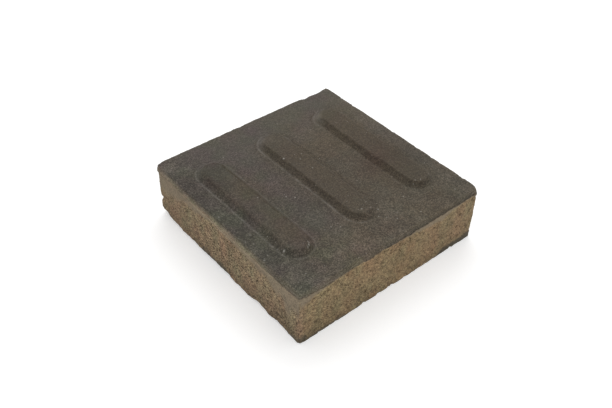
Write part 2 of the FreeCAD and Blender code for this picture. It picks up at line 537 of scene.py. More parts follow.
def facing_mesh(settings):
    """Points, quads and triangles of the facing, with the masks that its finish reads."""
    wear = settings.wear
    flat_level = FACING_BOX[1].z - settings.bars.height
    half = min(HALF_WIDTH, HALF_LENGTH)

    square, quads, edge = top_grid()
    inset = half * (1 - np.abs(square).max(axis=1))
    along, down = round_over(inset, 0, arris_radius(square, wear))
    top = at_height(plan(square, along - inset, facing_radii(wear, 0)), flat_level - down)

    ring = side_ring()
    ring_places = plan(ring, 0, facing_radii(wear, 1))
    side_height = flat_level - seam_level(ring_places, wear)
    dust_below = foot_dust(ring_places)
    blocks = [top]
    edge_gaps = [inset]
    dust = [ARRIS_DUST * bump(inset, ARRIS_DUST_REACH)]
    for row in range(1, FACING_ROWS + 1):
        share = row / FACING_ROWS
        depth = side_height * share
        along, down = round_over(0, depth, arris_radius(ring, wear))
        blocks.append(at_height(plan(ring, along, facing_radii(wear, share)), flat_level - down))
        edge_gaps.append(depth)
        dust.append(mix(ARRIS_DUST, dust_below, share))
    bond_ring = at_height(plan(ring, BOND_INSET, facing_radii(wear, 1)), BOND_LEVEL)
    bond_middle = np.array([[0, 0, BOND_LEVEL]])
    points = np.concatenate([*blocks, bond_ring, bond_middle])
    edge_gap = np.concatenate([*edge_gaps, np.full(len(ring) + 1, half)])

    rings = [edge, *ring_numbers(len(top), FACING_ROWS + 1)]
    quads = np.concatenate([quads] + [ring_quads(upper, lower) for upper, lower in zip(rings, rings[1:])])
    triangles = ring_fan(rings[-1], len(points) - 1, up=False)

    on_top = np.arange(len(points)) < len(top)
    masks = facing_relief(points, quads, on_top, edge_gap, settings)
    above_seam = np.full(len(points), half)
    for row, numbers in enumerate(rings[:-1]):
        above_seam[numbers] = side_height * (FACING_ROWS - row) / FACING_ROWS
    masks["above_seam"] = above_seam
    masks["side_dust"] = np.concatenate([*dust, np.zeros(len(ring) + 1)])
    masks["shade"] = np.maximum(masks["shade"], skin_and_seam_shade(points, above_seam))

    # The hidden bond to the backing stays level
    points[-len(ring) - 1:, 2] = BOND_LEVEL
    keep_inside(points)
    return points, quads, triangles, masks


def foot_dust(ring_places):
    """How dusty the facing's sides are just above the seam, for places round the slab."""
    x, y = ring_places.T / MM
    # The left side is dustiest along its middle, and the near side is dusty on its left half alone
    left = 0.25 + 0.75 * smooth_step(-66, -36, y)
    left -= 0.2 * smooth_step(20, 70, y)
    left -= 0.2 * smooth_step(70, 90, y)
    near = 0.2 * smooth_step(0, -30, x) + 0.08 * smooth_step(-60, -85, x)
    return by_side(ring_places, near, left, 0.2)


def skin_and_seam_shade(points, above_seam):
    """Dark skin without dust, and painted shade, just above the seam on the right half of the near side."""
    skin = side_of(points)[0] * smooth_step(0, 30 * MM, points[:, 0])
    skin *= np.clip(0.6 + layered_noise(points, 14 * MM, seed=30, layers=2), 0, 1)
    return 0.45 * skin * smooth_step(4.5 * MM, 1.5 * MM, above_seam)


def bar_marks(points, foot_gap, turn, worn, bars):
    """Masks of the pale line round the bars' feet and of the dark skin and painted shade on the bars and
    beside them.

    The turn is -1 on a bar's left side, 0 at its two tips and 1 on its right side.
    """
    y = points[:, 1]
    far = smooth_step(48 * MM, 60 * MM, y)
    not_near = smooth_step(-72 * MM, -58 * MM, y)
    far_left = far * bump(turn + 0.7, 0.35)
    on_left = turn < 0
    # Height on the flank, from 0 at the foot to 1 at the crown's edge and more on the crown
    climb = -foot_gap / bars.flank_run

    # Pale line, broken up along its run
    broken = np.clip(0.5 + 0.8 * layered_noise(points, 5 * MM, seed=22, layers=2), 0, 1.2)
    side_lip = np.where(on_left, worn["left_lip"], worn["right_lip"])
    clear = mix(side_lip, worn["tip_lip"], far) + far_left * worn["far_left_lip"]
    side_offset = np.where(on_left, LEFT_LIP_OFFSET, RIGHT_LIP_OFFSET)
    offset = mix(side_offset, TIP_LIP_OFFSET, far * bump(turn, 0.4))
    lip = bump(foot_gap - offset, LIP_REACH) * clear * broken * smooth_step(-78 * MM, -66 * MM, y)
    lip += bump(climb - 0.55, 0.6) * far_left * worn["far_scuff"] * broken

    # Dark skin and painted shade on the left flank, the near tip and the crown, painted shade on the face by
    # the right foot and on the right flank
    foot = smooth_step(0.02, 0.2, climb)
    left = foot * smooth_step(worn["shade_reach"], 1.0, climb) * smooth_step(0.1, -0.45, turn)
    low = np.maximum(worn["low_shade"], 0.55 * smooth_step(0, 50 * MM, y))
    left *= mix(low, 1, smooth_step(0.4, 0.95, climb)) * worn["flank_shade"]
    left *= 1 - worn["near_fade"] * smooth_step(35 * MM, -60 * MM, y)
    left *= 1 - 0.5 * far_left
    tip = smooth_step(0.3, 0.9, climb) * smooth_step(1.7, 1.1, climb)
    tip *= (1 - not_near) * bump(turn - 0.3, 0.7) * worn["near_shade"]
    right = smooth_step(-1.5, -0.2, climb) * smooth_step(0.2, 0.0, climb) * smooth_step(0.1, 0.6, turn)
    right *= worn["right_shade"] * not_near
    # Painted shade on the right flank, so that the bars stand out when seen from behind
    right_flank = 0.5 * foot * smooth_step(1.15, 0.85, climb) * smooth_step(-0.5, 0.2, turn) * not_near
    crown = smooth_step(1.0, 1.25, climb) * worn["crown_shade"]
    line = bump(climb - 1.17, 0.33) * smooth_step(-0.6, 0.1, turn) * not_near * worn["crown_line"]
    line *= np.clip(0.6 + 0.9 * layered_noise(points, 5 * MM, seed=29, layers=2), 0, 1)
    groove = bump(foot_gap - GROOVE_OFFSET, GROOVE_REACH) * far_left * worn["far_groove"]
    return lip, np.max([left, tip, right, right_flank, crown, line, groove], axis=0)


def facing_relief(points, quads, on_top, edge_gap, settings):
    """Raises the bars and roughens, nicks and crumbles the surface in place. Gives the finish's masks."""
    bars = settings.bars
    distance, nearest, offset = bar_distances(points, bars)
    worn = {mark: np.array(values)[nearest % len(values)] for mark, values in BAR_WEAR.items()}
    waver = layered_noise(points, 17 * MM, seed=21, layers=3) + 0.5 * lattice_noise(points, 6 * MM, seed=35)
    foot_gap = distance + waver * worn["waver"] - bars.base_width / 2
    rise = bar_rise(foot_gap, bars)
    lip, shade = bar_marks(points, foot_gap, offset / np.maximum(distance, MM), worn, bars)
    lip *= on_top

    crumb = strongest_spot(points, CRUMBLED_SPOTS) * on_top
    crumb *= smooth_step(-0.3, 0.3, layered_noise(points, 4 * MM, seed=23, layers=2) + crumb - 0.4)
    grains = [(x, y, GRAIN_REACH, strength) for x, y, strength in PALE_GRAINS]
    grain = strongest_spot(points, grains) * on_top

    points[:, 2] += np.where(on_top, rise, 0)
    normals = vertex_normals(points, quads)
    rough = 0.16 * layered_noise(points, 11 * MM, seed=24, layers=2)
    rough += 0.08 * lattice_noise(points, 2.6 * MM, seed=25)
    rough += 0.07 * lattice_noise(points, 1.3 * MM, seed=26)
    rough += crumb * (0.5 * lattice_noise(points, 1.7 * MM, seed=27) - 0.25)
    relief = rough * MM - FACING_SINK + lip * LIP_RISE + grain * GRAIN_RISE
    nicked = smooth_step(0.1, 0.6, layered_noise(points, 5 * MM, seed=28, layers=3))
    to_back = smooth_step(-0.2 * HALF_LENGTH, 0.2 * HALF_LENGTH, points[:, :2].mean(axis=1))
    relief -= bump(edge_gap, NICK_REACH) * nicked * settings.wear.arris_nick * (1 - 0.5 * to_back)
    relief -= bump(edge_gap, CHIP_REACH) * summed_spots(points, EDGE_CHIPS) * MM
    points += normals * relief[:, None]
    masks = {"lip": lip, "crumb": crumb, "pale_grain": grain, "shade": shade * on_top}
    masks.update(facing_tones(points, smooth_step(0.8, 1.0, rise / bars.height)))
    return masks


def facing_tones(points, on_crown):
    """Masks of how the facing is greyed, stained, light and coarsely speckled."""
    x = points[:, 0] / HALF_WIDTH
    y = points[:, 1] / HALF_LENGTH
    left = smooth_step(-0.6, -0.92, x)
    front = smooth_step(-0.5, -0.8, y)
    back = smooth_step(0.3, 0.85, y)
    cosine, sine = math.cos(CLOUD_TURN), math.sin(CLOUD_TURN)
    turned = points @ np.array([(cosine, -sine, 0), (sine, cosine, 0), (0, 0, 1)])
    cloud = layered_noise(turned, 35 * MM, seed=31, layers=3)
    # Greyed at the back, between the left bar and the middle one, along the right edge and at the far left
    greyed = np.max([
        0.8 * back,
        0.8 * bump(x + 0.35, 0.22) * (1 - front),
        0.4 * smooth_step(0.8, 0.92, x),
        0.6 * smooth_step(-0.45, -0.6, x) * smooth_step(0.2, 0.5, y),
    ], axis=0)
    # The grain shows most on the left margin and along the front, and least at the back and on the crowns
    closed = (0.76 - 0.08 * x - 0.22 * back) * (1 - 0.25 * on_crown)
    grit = mix(closed, 0.92, np.maximum(left, front * (1 - 0.4 * smooth_step(-0.2, 0.6, x))))
    uneven = 0.1 * (1 + 2.8 * left + 2.4 * front)
    mottle = uneven * grit * layered_noise(turned, 9 * MM, seed=32, layers=3)
    mottle += 0.06 * layered_noise(turned, 25 * MM, seed=33, layers=2)
    patches = summed_spots(points, TONE_PATCHES)
    tinged = 0.2 + 0.8 * np.maximum(smooth_step(-0.1, -0.45, x), 0.7 * back)
    return {
        "tinge": np.clip(0.5 + 1.1 * tinged * layered_noise(turned, 15 * MM, seed=34, layers=2), 0, 1),
        "bloom": np.clip(greyed * (1 + 0.5 * cloud) + 0.25 * cloud, 0, 1),
        "moss": np.clip(left * (1 - 0.6 * back) * (0.85 + 0.6 * cloud), 0, 1),
        "stain": strongest_spot(points, STAINS),
        "lightness": 1 + 0.04 * x + 0.06 * back - 0.01 * left + 0.03 * front + mottle + patches,
        "grit": grit,
    }


# The backing slab

# The broken lower left edge in millimetres: distance from the left corner, and height that is broken away
LOWER_EDGE = [
    (0, 10.4), (12, 8.8), (16, 6.0), (28, 4.7), (38, 3.6), (60, 3.4), (76, 4.0), (104, 3.4), (112, 1.8),
    (124, 2.2), (133, 1.1), (148, 5.1), (161, 1.3), (172, 3.7), (182, 2.4), (196, 0.8), (200, 1.0),
]
# Height of a broken edge over its depth, and the least height that is broken away
BREAK_SLOPE = 1.2
LEAST_BREAK = 0.1 * MM
# How far the left side of the backing stands back from the facing
LEFT_INSET = 0.35 * MM
# How far the roughness of the bed may rise
BED_RISE = 0.4 * MM
# Broken spot on the upright left corner, in millimetres: height, reach up and down, reach across, and depth
CORNER_BITE = (20.5, 3.2, 7.0, 2.6)
# Dark strips of painted contact shadow at the foot of the sides: axis they run along, sign of the side they
# lie on, start, end and height in millimetres, and strength
FOOT_SHADOW_STRIPS = [
    (0, -1, -94, -50, 3.4, 0.6), (0, -1, 58, 104, 6.8, 0.85), (1, 1, -110, -72, 6.8, 0.85),
    (1, -1, -8, 36, 8.5, 0.8), (0, -1, -110, -90, 8.0, 0.6), (1, -1, -110, -88, 6.5, 0.6),
]
# Lighter and darker patches of the near side, then of the left side: place along the side, height and reach
# in millimetres, and change of lightness
SIDE_PATCHES = [
    [
        (-82, 13, 7, -0.08), (-35, 13, 10, -0.12), (28, 10, 9, -0.04), (-72, 43, 12, 0.06),
        (48, 41, 12, 0.12), (10, 4, 9, 0.1), (-48, 4, 8, 0.14), (-86, 31, 11, 0.14), (-68, 28, 5, -0.12),
        (-84, 6, 5, 0.12), (18, 34, 10, -0.12), (93, 22, 7, -0.12), (-96, 38, 6, -0.12), (-97, 22, 5, -0.1),
        (-84, 30, 4, 0.1), (-75, 45, 5, 0.12), (61, 12, 6, 0.12), (-15, 39, 5, 0.1),
    ],
    [
        (-75, 42, 16, 0.08), (-75, 15, 18, -0.09), (-10, 36, 9, -0.1), (50, 30, 12, -0.05),
        (-15, 44, 12, -0.06), (-22, 32, 6, -0.12), (-38, 20, 6, -0.12), (5, 36, 6, -0.1), (-70, 40, 6, -0.1),
        (-98, 38, 5, -0.12), (-75, 34, 6, -0.1),
    ],
]
# Open pores that stand out on the near side, then on the left side: place along the side and height
# in millimetres
OPEN_PORES = [
    [
        (-83, 16), (-78, 14), (-67, 22), (-68, 31), (-49, 36), (-36, 12), (-2, 31), (6, 46), (24, 16),
        (56, 24),
    ],
    [(-60, 14), (-25, 33), (-22, 13), (-12, 17), (-6, 41), (2, 27), (12, 26), (53, 28), (66, 36)],
]
# Reach of such a pore in millimetres
PORE_REACH = 1.1


def lower_edge(ring, ring_places):
    """Height that is broken away from the lower edge, for places round the slab."""
    x, y = ring_places.T
    points = at_height(ring_places, 0)
    # Small chips all round, none on the left part of the near side and larger ones on the two far sides
    sound = (ring[:, 1] == -1) * smooth_step(-35 * MM, -50 * MM, x)
    hidden = ring.max(axis=1) == 1
    uneven = (0.3 + 0.7 * hidden) * layered_noise(points, 9 * MM, seed=41, layers=3)
    chips = (0.3 + uneven) * MM * (1 - sound)
    places, heights = np.array(LOWER_EDGE).T * MM
    broken = np.interp(HALF_LENGTH - y, places, heights)
    broken *= 1 + 0.15 * layered_noise(points, 4 * MM, seed=42, layers=2)
    on_left = smooth_step(-0.93, -1, ring[:, 0])
    return np.maximum(mix(chips, broken, on_left), LEAST_BREAK)


def slurry_width(ring_places):
    """Width of the smooth strip below the seam, for places round the slab."""
    x = ring_places[:, 0] / HALF_WIDTH
    y = ring_places[:, 1] / HALF_LENGTH
    waver = 1 + 0.6 * layered_noise(at_height(ring_places, 0), 14 * MM, seed=43, layers=3)
    # Wider towards both ends of the left side, with a run near the front, and in two places of the near side
    left = 4 + 15 * np.clip(y, 0, 1) ** 2 + 15 * np.clip(-y, 0, 1) ** 2
    run_down = 13 * bump(y + 0.86, 0.045)
    near = 0.5 + 8 * bump(x + 1, 0.18) + 4.5 * bump(x - 0.5, 0.25)
    return by_side(ring_places, near * waver, left * waver + run_down, 2.5 * waver) * MM


def backing_mesh(settings):
    """Points, quads and triangles of the backing, with the masks that its finish reads."""
    wear = settings.wear
    ring = side_ring()
    ring_places = plan(ring, 0, facing_radii(wear, 1))
    seam = seam_level(ring_places, wear)
    broken = lower_edge(ring, ring_places)
    side_inset = LEFT_INSET * (ring[:, 0] == -1)

    blocks = []
    depths = []
    for row in range(BACKING_ROWS + 1):
        share = 1 - row / BACKING_ROWS
        level = seam * share
        bitten = np.maximum(broken - level, 0) / BREAK_SLOPE
        places = plan(ring, side_inset + bitten, backing_radii(wear, BOND_LEVEL * share))
        blocks.append(at_height(places, level))
        depths.append(seam - level)
    for ring_inset in BED_RING_INSETS:
        bitten = broken / BREAK_SLOPE * (1 - ring_inset / BED_RING_INSETS[-1])
        places = plan(ring, side_inset + bitten + ring_inset * MM, backing_radii(wear, 0))
        blocks.append(at_height(places, 0))
        depths.append(seam)
    bond_ring = at_height(plan(ring, BOND_INSET, backing_radii(wear, BOND_LEVEL)), BOND_LEVEL)
    middles = np.array([[0, 0, 0], [0, 0, BOND_LEVEL]])
    points = np.concatenate([*blocks, bond_ring, middles])
    below_seam = np.concatenate([*depths, np.zeros(len(ring)), [BOND_LEVEL, 0]])

    *rings, bond_numbers = ring_numbers(0, len(blocks) + 1)
    pairs = [*zip(rings, rings[1:]), (bond_numbers, rings[0])]
    quads = np.concatenate([ring_quads(upper, lower) for upper, lower in pairs])
    bed_middle = len(points) - 2
    bond_middle = len(points) - 1
    triangles = np.concatenate([
        ring_fan(rings[-1], bed_middle, up=False), ring_fan(bond_numbers, bond_middle, up=True)])

    slurry = np.concatenate([np.tile(slurry_width(ring_places), len(blocks) + 1), [MM, MM]])
    masks = backing_relief(points, quads, below_seam, slurry, settings)

    # The bed stays nearly flat, and the hidden bond to the facing stays level
    bed = slice(len(ring) * (BACKING_ROWS + 1), len(ring) * len(blocks))
    points[bed, 2] = np.minimum(points[bed, 2], BED_RISE)
    points[bond_numbers, 2] = BOND_LEVEL
    points[[bed_middle, bond_middle], 2] = [0, BOND_LEVEL]
    keep_inside(points)
    return points, quads, triangles, masks


def backing_relief(points, quads, below_seam, slurry, settings):
    """Roughens and pits the surface in place. Gives the masks of the finish."""
    normals = vertex_normals(points, quads)
    smooth = smooth_step(1.45, 0.65, below_seam / slurry)
    open_grain = 1 - 0.75 * smooth
    large_pits = pit_field(points, 4.2 * MM, share=0.22, seed=51)
    small_pits = pit_field(points, 2.4 * MM, share=0.4, seed=52)
    rough = 0.22 * layered_noise(points, 16 * MM, seed=53, layers=2)
    rough += open_grain * 0.2 * lattice_noise(points, 3.1 * MM, seed=54)
    rough += open_grain * 0.14 * lattice_noise(points, 1.5 * MM, seed=55)
    pits = open_grain * np.maximum(large_pits, 0.6 * small_pits)
    for axis, pores in enumerate(OPEN_PORES):
        for along, height in pores:
            pits = np.maximum(pits, side_spot(points, axis, along, height, PORE_REACH))
    level, reach_up, reach_across, depth = np.array(CORNER_BITE) * MM
    corner_gap = np.hypot(points[:, 0] + HALF_WIDTH, points[:, 1] - HALF_LENGTH)
    bite = depth * bump(points[:, 2] - level, reach_up) * bump(corner_gap, reach_across)
    relief = rough * MM - pits * settings.wear.pore - bite
    points += normals * relief[:, None]
    masks = {"below_seam": below_seam, "slurry": smooth, "pit": pits, "foot_shadow": foot_shadow_strips(points)}
    masks.update(backing_tones(points, smooth, below_seam))
    return masks


def foot_shadow_strips(points):
    """How dark the painted contact shadow along the foot of a side is."""
    uneven = 1 + 0.6 * layered_noise(points, 6 * MM, seed=57, layers=3)
    foot_shadow = np.zeros(len(points))
    for axis, side, start, end, height, strength in FOOT_SHADOW_STRIPS:
        on_side = points[:, 1 - axis] * side > 0.93 * HALF_WIDTH
        along = points[:, axis] / MM
        reach = smooth_step(start - 4, start + 6, along) * smooth_step(end + 4, end - 6, along)
        strip = smooth_step(1.25, 0.6, points[:, 2] / (height * MM * uneven * np.maximum(reach, 0.01)))
        foot_shadow = np.maximum(foot_shadow, strip * on_side * strength)
    return foot_shadow


def backing_tones(points, smooth, below_seam):
    """Masks of how the backing's sides darken towards the lower edge, how yellow, rusty, light and coarsely
    grained they are, and the painted highlight below the seam.
    """
    x, y, z = points.T / MM
    upright = points * (1, 1, 0.4)
    # Darker towards the lower edge, most on the left side
    near_darkening = 0.12 + 0.12 * smooth_step(-20, -60, x)
    left_darkening = 0.26 + 0.2 * smooth_step(0, -60, y)
    darkening_reach = by_side(points, 16, 28, 20)
    lower_darkening = smooth_step(darkening_reach, 0, z + 11 * layered_noise(upright, 10 * MM, seed=56, layers=3))
    lower_darkening *= by_side(points, near_darkening, left_darkening, 0.3)

    # Lighter strip just below the seam, along the middle of the left side and the right half of the near
    # side: a painted highlight where the backing's top edge catches the light
    seam_highlight = smooth_step(4 * MM, MM, below_seam) * smooth_step(-72, -55, y) * smooth_step(60, 20, y)
    left = 0.97 + 0.34 * seam_highlight - 0.1 * smooth_step(25, 75, y)
    near = 0.95 + 0.05 * (z - 25) / 25
    near += 0.08 * smooth_step(5 * MM, MM, below_seam) * smooth_step(10, 50, x)
    lightness = by_side(points, near, left, 0.97) + 0.16 * layered_noise(upright, 7 * MM, seed=58, layers=3)
    for axis, patches in enumerate(SIDE_PATCHES):
        for *patch, change in patches:
            lightness += change * side_spot(points, axis, *patch)

    near_yellow = smooth_step(-102, -89, x) - 0.35 * smooth_step(10, 80, x)
    near_grit = 1.25 - 0.27 * smooth_step(-50, 60, x)
    left_grit = 1.9 - 0.6 * smooth_step(20, 70, y)
    return {
        "lower_darkening": lower_darkening,
        "yellowed": by_side(points, near_yellow, 0.0, 0.5),
        "rusty": np.clip(0.5 + 0.6 * layered_noise(points * (1, 1, 0.6), 10 * MM, seed=59, layers=2), 0, 1),
        "lightness": lightness,
        "grit": by_side(points, near_grit, left_grit, 1.2) * (1 - 0.6 * smooth),
    }


# Finish: shader groups that both concretes share

# Sockets of the Mix node that take and give colours: share, first and second colour, and result
MIX_INPUTS = (0, 6, 7)
MIX_OUTPUT = 2
# Weak reflection of dry concrete
SPECULAR_LEVEL = 0.25


def add_node(tree, kind, inputs=None, **settings):
    """A node with its settings, and its inputs set to values or linked from other nodes' outputs."""
    node = tree.nodes.new(kind)
    for name, value in settings.items():
        setattr(node, name, value)
    for name, value in (inputs or {}).items():
        if isinstance(value, bpy.types.NodeSocket):
            tree.links.new(value, node.inputs[name])
        else:
            node.inputs[name].default_value = value
    return node


def calculate(tree, operation, first, second):
    return add_node(tree, "ShaderNodeMath", {0: first, 1: second}, operation=operation).outputs[0]


def ease(tree, value, low, high):
    """From 0 at the low value to 1 at the high one, with soft ends."""
    inputs = {"Value": value, "From Min": low, "From Max": high}
    return add_node(tree, "ShaderNodeMapRange", inputs, interpolation_type="SMOOTHSTEP").outputs["Result"]


def spread(tree, value, low, high):
    """A value from 0 to 1, spread evenly from the low value to the high one."""
    inputs = {"Value": value, "To Min": low, "To Max": high}
    return add_node(tree, "ShaderNodeMapRange", inputs).outputs["Result"]


def new_group(name, inputs, outputs):
    """An empty shader group with number outputs, and its inputs: a position, then named numbers."""
    tree = bpy.data.node_groups.new(name, "ShaderNodeTree")
    tree.interface.new_socket("Position", in_out="INPUT", socket_type="NodeSocketVector")
    for label, default in inputs.items():
        socket = tree.interface.new_socket(label, in_out="INPUT", socket_type="NodeSocketFloat")
        socket.default_value = default
    for label in outputs:
        tree.interface.new_socket(label, in_out="OUTPUT", socket_type="NodeSocketFloat")
    return tree, add_node(tree, "NodeGroupInput").outputs


def cells(tree, position, size):
    """A pattern of cells about one size across: distance from each cell's middle, and its random values."""
    scale = calculate(tree, "DIVIDE", 1.0, size)
    pattern = add_node(tree, "ShaderNodeTexVoronoi", {"Vector": position, "Scale": scale}).outputs
    values = add_node(tree, "ShaderNodeSeparateColor", {0: pattern["Color"]}).outputs
    return pattern["Distance"], values


def sand_grain_group(name):
    """Packed sand: a tone for each grain, grains that stand up in the middle, and the gaps between them.

    With a bias above 1 few grains are light, and below 1 few are dark.
    """
    tree, given = new_group(name, {"Size": MM, "Bias": 1.0}, ["Tone", "Height", "Gap"])
    distance, values = cells(tree, given["Position"], given["Size"])
    tone = calculate(tree, "POWER", values[0], given["Bias"])
    height = ease(tree, distance, 0.75, 0.1)
    gap = ease(tree, distance, 0.5, 0.8)
    add_node(tree, "NodeGroupOutput", {"Tone": tone, "Height": height, "Gap": gap})
    return tree


def scattered_spots_group(name):
    """Round spots of uneven size in a share of the cells of a pattern."""
    tree, given = new_group(name, {"Spacing": 4 * MM, "Share": 0.3, "Size": 0.3}, ["Mask"])
    distance, values = cells(tree, given["Position"], given["Spacing"])
    present = calculate(tree, "LESS_THAN", values[0], given["Share"])
    radius = calculate(tree, "MULTIPLY", given["Size"], spread(tree, values[1], 0.5, 1.3))
    spot = ease(tree, distance, radius, calculate(tree, "MULTIPLY", radius, 0.5))
    add_node(tree, "NodeGroupOutput", {"Mask": calculate(tree, "MULTIPLY", present, spot)})
    return tree


def cloudy_patches_group(name):
    """Soft patches with ragged edges."""
    tree, given = new_group(name, {"Size": 40 * MM, "Low": 0.4, "High": 0.6}, ["Mask"])
    scale = calculate(tree, "DIVIDE", 1.0, given["Size"])
    inputs = {"Vector": given["Position"], "Scale": scale, "Detail": 5.0, "Roughness": 0.6}
    noise = add_node(tree, "ShaderNodeTexNoise", inputs).outputs[0]
    add_node(tree, "NodeGroupOutput", {"Mask": ease(tree, noise, given["Low"], given["High"])})
    return tree


class Finish:
    """A material in the making: places shared groups and mixes their masks into its colour and height."""

    def __init__(self, name):
        self.material = bpy.data.materials.new(name)
        self.material.use_nodes = True
        self.tree = self.material.node_tree
        self.shader = self.tree.nodes["Principled BSDF"]
        self.position = add_node(self.tree, "ShaderNodeTexCoord").outputs["Object"]

    def place(self, name, maker, **values):
        """Outputs of a shared group, which is made when it is first needed."""
        group = bpy.data.node_groups.get(name) or maker(name)
        inputs = {"Position": self.position, **values}
        return add_node(self.tree, "ShaderNodeGroup", inputs, node_tree=group).outputs

    def sand(self, size, bias=1.0):
        return self.place("Sand grain", sand_grain_group, Size=size, Bias=bias)

    def spots(self, spacing, share, size):
        values = {"Spacing": spacing, "Share": share, "Size": size}
        return self.place("Scattered spots", scattered_spots_group, **values)["Mask"]

    def patches(self, size, low, high):
        return self.place("Cloudy patches", cloudy_patches_group, Size=size, Low=low, High=high)["Mask"]

    def mask(self, name):
        """A mask that the mesh carries."""
        return add_node(self.tree, "ShaderNodeAttribute", attribute_name=name).outputs["Fac"]

    def blend(self, share, first, second):
        """The first colour where the share is 0, and the second where it is 1."""
        tints = [tint if isinstance(tint, bpy.types.NodeSocket) else (*tint, 1) for tint in (first, second)]
        inputs = dict(zip(MIX_INPUTS, (share, *tints)))
        return add_node(self.tree, "ShaderNodeMix", inputs, data_type="RGBA").outputs[MIX_OUTPUT]

    def scaled(self, value, *factors):
        for factor in factors:
            value = calculate(self.tree, "MULTIPLY", value, factor)
        return value

    def greatest(self, value, *others):
        for other in others:
            value = calculate(self.tree, "MAXIMUM", value, other)
        return value

    def brightened(self, tint, factor):
        """A colour times a factor."""
        inputs = {0: tint, "Scale": factor}
        return add_node(self.tree, "ShaderNodeVectorMath", inputs, operation="SCALE").outputs[0]

    def toned(self, tint, tone, contrast, bias=1.0):
        """A colour made lighter and darker by a sand tone of a bias, by up to about a contrast."""
        middle = 2 / (1 + bias)
        swing = self.scaled(spread(self.tree, tone, -middle, 2 - middle), contrast)
        return self.brightened(tint, calculate(self.tree, "ADD", swing, 1.0))

    def tinged(self, tint, share, first_cast, second_cast):
        """A colour times a cast that changes from one to another."""
        inputs = {0: tint, 1: self.blend(share, first_cast, second_cast)}
        return add_node(self.tree, "ShaderNodeVectorMath", inputs, operation="MULTIPLY").outputs[0]

    def summed(self, *terms):
        """Sum of heights, each times its rise."""
        first, *others = [self.scaled(value, rise) for value, rise in terms]
        for other in others:
            first = calculate(self.tree, "ADD", first, other)
        return first

    def complete(self, tint, roughness, height):
        """Joins colour, roughness and a height in metres to the shader."""
        self.tree.links.new(tint, self.shader.inputs["Base Color"])
        self.tree.links.new(roughness, self.shader.inputs["Roughness"])
        self.shader.inputs["Specular IOR Level"].default_value = SPECULAR_LEVEL
        relief = add_node(self.tree, "ShaderNodeBump", {"Height": height, "Strength": 1.0, "Distance": 1.0})
        self.tree.links.new(relief.outputs["Normal"], self.shader.inputs["Normal"])
        return self.material


# Finish of the two concretes

# Size of the fine sand that both concretes are made with
FINE_SAND = 0.85 * MM
# Biases of the sand tones: few light grains in the facing, few dark ones in the backing
LIGHT_GRAINS = 1.8
DARK_GRAINS = 0.6
# Casts between which the facing's colour wanders, times its red, green and blue
GREEN_CAST = (0.96, 1.02, 0.96)
ROSE_CAST = (1.04, 0.98, 1.04)


def facing_finish(colours):
    """Dark pigmented facing: brown, grey and olive clouds, fine sand, pale grains and dust, pores darkened
    by dirt and painted shade.
    """
    finish = Finish("Facing concrete")
    fine = finish.sand(FINE_SAND, LIGHT_GRAINS)
    coarse = finish.sand(2.1 * MM)
    grit = finish.mask("grit")
    dust = finish.mask("side_dust")
    crumb = finish.mask("crumb")
    above_seam = finish.mask("above_seam")
    pores = finish.scaled(finish.spots(spacing=4.5 * MM, share=0.3, size=0.16), grit)

    clouds = finish.patches(48 * MM, low=0.42, high=0.6)
    tint = finish.blend(clouds, colours.facing_brown, colours.facing_olive)
    tint = finish.blend(finish.mask("bloom"), tint, colours.facing_grey)
    tint = finish.blend(finish.mask("moss"), tint, colours.facing_moss)
    # Dark skin and painted shade on and beside the bars, and painted shade above the near side's seam
    tint = finish.blend(finish.mask("shade"), tint, colours.facing_shade)
    tint = finish.blend(finish.mask("stain"), tint, colours.facing_rust)
    tint = finish.blend(dust, tint, colours.facing_dust)
    tint = finish.brightened(tint, finish.mask("lightness"))
    tint = finish.tinged(tint, finish.mask("tinge"), GREEN_CAST, ROSE_CAST)
    tint = finish.toned(tint, coarse["Tone"], finish.scaled(grit, 0.1))
    tint = finish.toned(tint, fine["Tone"], finish.scaled(grit, 0.54), LIGHT_GRAINS)

    clusters = spread(finish.tree, finish.patches(18 * MM, low=0.42, high=0.58), 0.5, 1.6)
    specks = finish.scaled(finish.spots(spacing=5.5 * MM, share=0.5, size=0.13), grit, clusters, 0.3)
    crumb_grains = finish.scaled(crumb, finish.spots(spacing=2.2 * MM, share=0.45, size=0.3), 0.45)
    lip = finish.scaled(finish.mask("lip"), 0.2)
    pale = finish.greatest(specks, lip, finish.mask("pale_grain"), crumb_grains)
    tint = finish.blend(pale, tint, colours.pale_grain)
    # Dirt and painted shade in the pores, and darker crumbled spots
    dark = finish.greatest(finish.scaled(pores, 0.45), finish.scaled(crumb, 0.12))
    tint = finish.blend(dark, tint, colours.pore_dirt_and_shade)

    edge = ease(finish.tree, above_seam, 2.2 * MM, 0.0)
    smear = finish.scaled(edge, finish.patches(3 * MM, low=0.48, high=0.6), dust)
    tint = finish.blend(smear, tint, colours.backing_rust)
    # Painted shadow in broken dashes just above the seam
    foot = ease(finish.tree, above_seam, 1.6 * MM, 0.0)
    seam_shadow = finish.scaled(foot, finish.patches(6 * MM, low=0.47, high=0.56), 0.5)
    tint = finish.blend(seam_shadow, tint, colours.pore_dirt_and_shade)

    roughness = spread(finish.tree, coarse["Tone"], 0.82, 0.96)
    height = finish.summed((fine["Height"], 0.12 * MM), (coarse["Height"], 0.14 * MM), (pores, -0.4 * MM))
    return finish.complete(tint, roughness, height)


